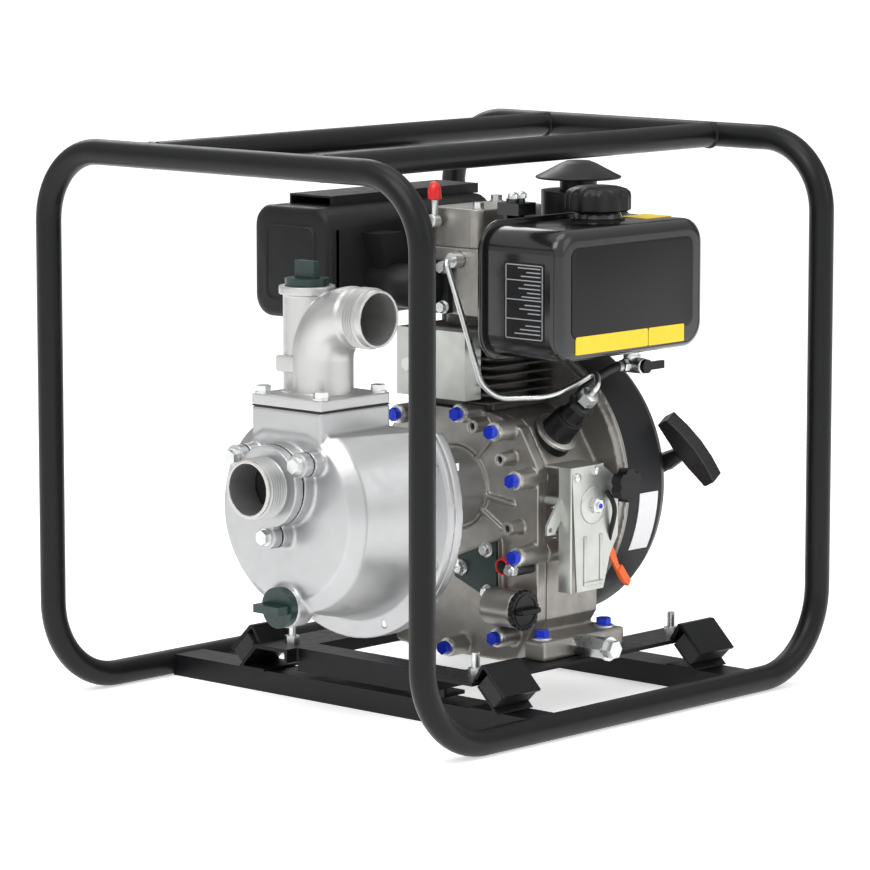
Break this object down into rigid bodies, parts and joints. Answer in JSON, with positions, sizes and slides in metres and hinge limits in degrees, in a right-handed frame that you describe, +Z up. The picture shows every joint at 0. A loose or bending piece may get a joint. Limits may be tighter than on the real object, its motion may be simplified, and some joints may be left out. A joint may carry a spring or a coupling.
{
  "type": "engine pump set",
  "caption": "Diesel-engine-driven self-priming centrifugal pump on rubber mounts inside a bent-tube roll frame.",
  "frame": {"origin": "middle of the roll frame footprint, on the ground", "axes": "+X along the crank axis from the suction port to the recoil starter, +Y away from the fuel tank, +Z up"},
  "size_m": [0.62, 0.53, 0.565],
  "materials": {
    "frame_black": "semi-gloss powder coat",
    "rubber": "matte moulded rubber",
    "pump_aluminium": "shot-blasted casting with silver paint",
    "elbow_aluminium": "fine blasted casting",
    "plug_green": "ribbed moulding",
    "cast_iron": "machined casting",
    "seal_steel": "ground",
    "engine_casting": "die casting",
    "engine_bolts": "zinc plated with a blue patch",
    "zinc": "zinc plated",
    "black_plastic": "fine moulded texture",
    "steel": "ground and forged",
    "piston_aluminium": "machined",
    "cylinder_iron": "cast fins",
    "red_plastic": "dipped",
    "muffler_black": "satin heat-proof paint",
    "fan_grey": "satin",
    "rope": "braided",
    "tank_black": "gloss paint",
    "pump_steel": "blackened",
    "orange_plastic": "moulded"
  },
  "bodies": {
    "engine_and_frame": {"access_plate": "zinc", "air_cleaner": "black_plastic", "connecting_rod": "steel", "crankcase": "engine_casting", "crankcase_bolts": "engine_bolts", "crankcase_cover": "engine_casting", "cross_channels": "frame_black", "cylinder": "cylinder_iron", "cylinder_head": "engine_casting", "cylinder_shroud": "zinc", "discharge_elbow": "elbow_aluminium", "exhaust_elbow": "muffler_black", "fan_housing": "fan_grey", "frame_hoop_engine_end": "frame_black", "frame_hoop_pump_end": "frame_black", "fuel_cock": "zinc", "fuel_hose": "rubber", "fuel_tank": "tank_black", "injection_pipe": "zinc", "injection_pump": "pump_steel", "injector": "zinc", "isolator_brackets": "frame_black", "isolator_rubbers": "rubber", "main_bearings": "seal_steel", "muffler": "muffler_black", "muffler_shields": "muffler_black", "oil_drain": "zinc", "piston": "piston_aluminium", "pump_bracket": "pump_aluminium", "pump_casing": "pump_aluminium", "pump_gaskets": "rubber", "rain_cap": "black_plastic", "recoil_cover": "fan_grey", "regulator_panel": "zinc", "rocker_cover": "engine_casting", "seal_seat": "seal_steel", "subframe": "frame_black", "suction_flange": "pump_aluminium", "tank_bracket": "tank_black", "top_bars": "frame_black", "volute_insert": "cast_iron", "zinc_fasteners": "zinc"},
    "crank_train": {"crankshaft": "steel", "flywheel": "cast_iron", "impeller": "cast_iron", "seal_rotor": "seal_steel"},
    "cam": {"camshaft": "steel"},
    "starter_reel": {"recoil_reel": "piston_aluminium"},
    "starter_handle": {"recoil_handle": "black_plastic", "starter_rope": "rope"},
    "flap": {"check_valve_flap": "rubber"},
    "priming_cap": {"priming_plug": "plug_green"},
    "drain_cap": {"drain_plug": "plug_green"},
    "oil_cap": {"oil_filler_cap": "black_plastic"},
    "tank_cap": {"fuel_cap": "black_plastic"},
    "decompression": {"decompression_lever": "red_plastic"},
    "speed_control": {"speed_lever": "orange_plastic"},
    "regulator_knob": {"control_knob": "black_plastic"},
    "stop_control": {"stop_lever": "zinc"},
    "fuel_tap": {"fuel_cock_lever": "black_plastic"}
  },
  "joints": [
    {"name": "crank_spin", "type": "hinge", "parent": "engine_and_frame", "child": "crank_train", "pos_m": [0, -0.031, 0.211], "axis": [1, 0, 0], "continuous": true},
    {"name": "cam_spin", "type": "hinge", "parent": "engine_and_frame", "child": "cam", "pos_m": [0.03, -0.08341, 0.224], "axis": [1, 0, 0], "continuous": true},
    {"name": "starter_pull", "type": "slide", "parent": "engine_and_frame", "child": "starter_handle", "axis": [0, -0.891, 0.454], "range_m": [0, 0.45]},
    {"name": "reel_spin", "type": "hinge", "parent": "engine_and_frame", "child": "starter_reel", "pos_m": [0.167, -0.031, 0.211], "axis": [1, 0, 0], "range_deg": [-640, 0]},
    {"name": "check_valve_swing", "type": "hinge", "parent": "engine_and_frame", "child": "flap", "pos_m": [-0.2646, -0.031, 0.267], "axis": [0, -1, 0], "range_deg": [0, 50]},
    {"name": "priming_plug_lift", "type": "slide", "parent": "engine_and_frame", "child": "priming_cap", "axis": [0, 0, 1], "range_m": [0, 0.03]},
    {"name": "drain_plug_pull", "type": "slide", "parent": "engine_and_frame", "child": "drain_cap", "axis": [-1, 0, 0], "range_m": [0, 0.03]},
    {"name": "oil_cap_pull", "type": "slide", "parent": "engine_and_frame", "child": "oil_cap", "axis": [0, -1, 0], "range_m": [0, 0.03]},
    {"name": "fuel_cap_lift", "type": "slide", "parent": "engine_and_frame", "child": "tank_cap", "axis": [0, 0, 1], "range_m": [0, 0.02]},
    {"name": "decompression_tilt", "type": "hinge", "parent": "engine_and_frame", "child": "decompression", "pos_m": [-0.021, -0.013, 0.478], "axis": [1, 0, 0], "range_deg": [0, 75]},
    {"name": "speed_lever_swing", "type": "hinge", "parent": "engine_and_frame", "child": "speed_control", "pos_m": [0.036, -0.1675, 0.202], "axis": [0, 1, 0], "range_deg": [0, 25]},
    {"name": "knob_turn", "type": "hinge", "parent": "engine_and_frame", "child": "regulator_knob", "pos_m": [0.068, -0.19, 0.22], "axis": [0, -1, 0], "continuous": true},
    {"name": "stop_lever_swing", "type": "hinge", "parent": "engine_and_frame", "child": "stop_control", "pos_m": [0.007, -0.15, 0.207], "axis": [0, 1, 0], "range_deg": [-12, 20]},
    {"name": "fuel_cock_turn", "type": "hinge", "parent": "engine_and_frame", "child": "fuel_tap", "pos_m": [0.11, -0.178, 0.334], "axis": [0, 1, 0], "range_deg": [0, 90]}
  ],
  "couplings": [
    {"joint": "cam_spin", "follows": "crank_spin", "ratio": -0.5},
    {"joint": "reel_spin", "follows": "starter_pull", "rad_per_m": -24.661}
  ]
}
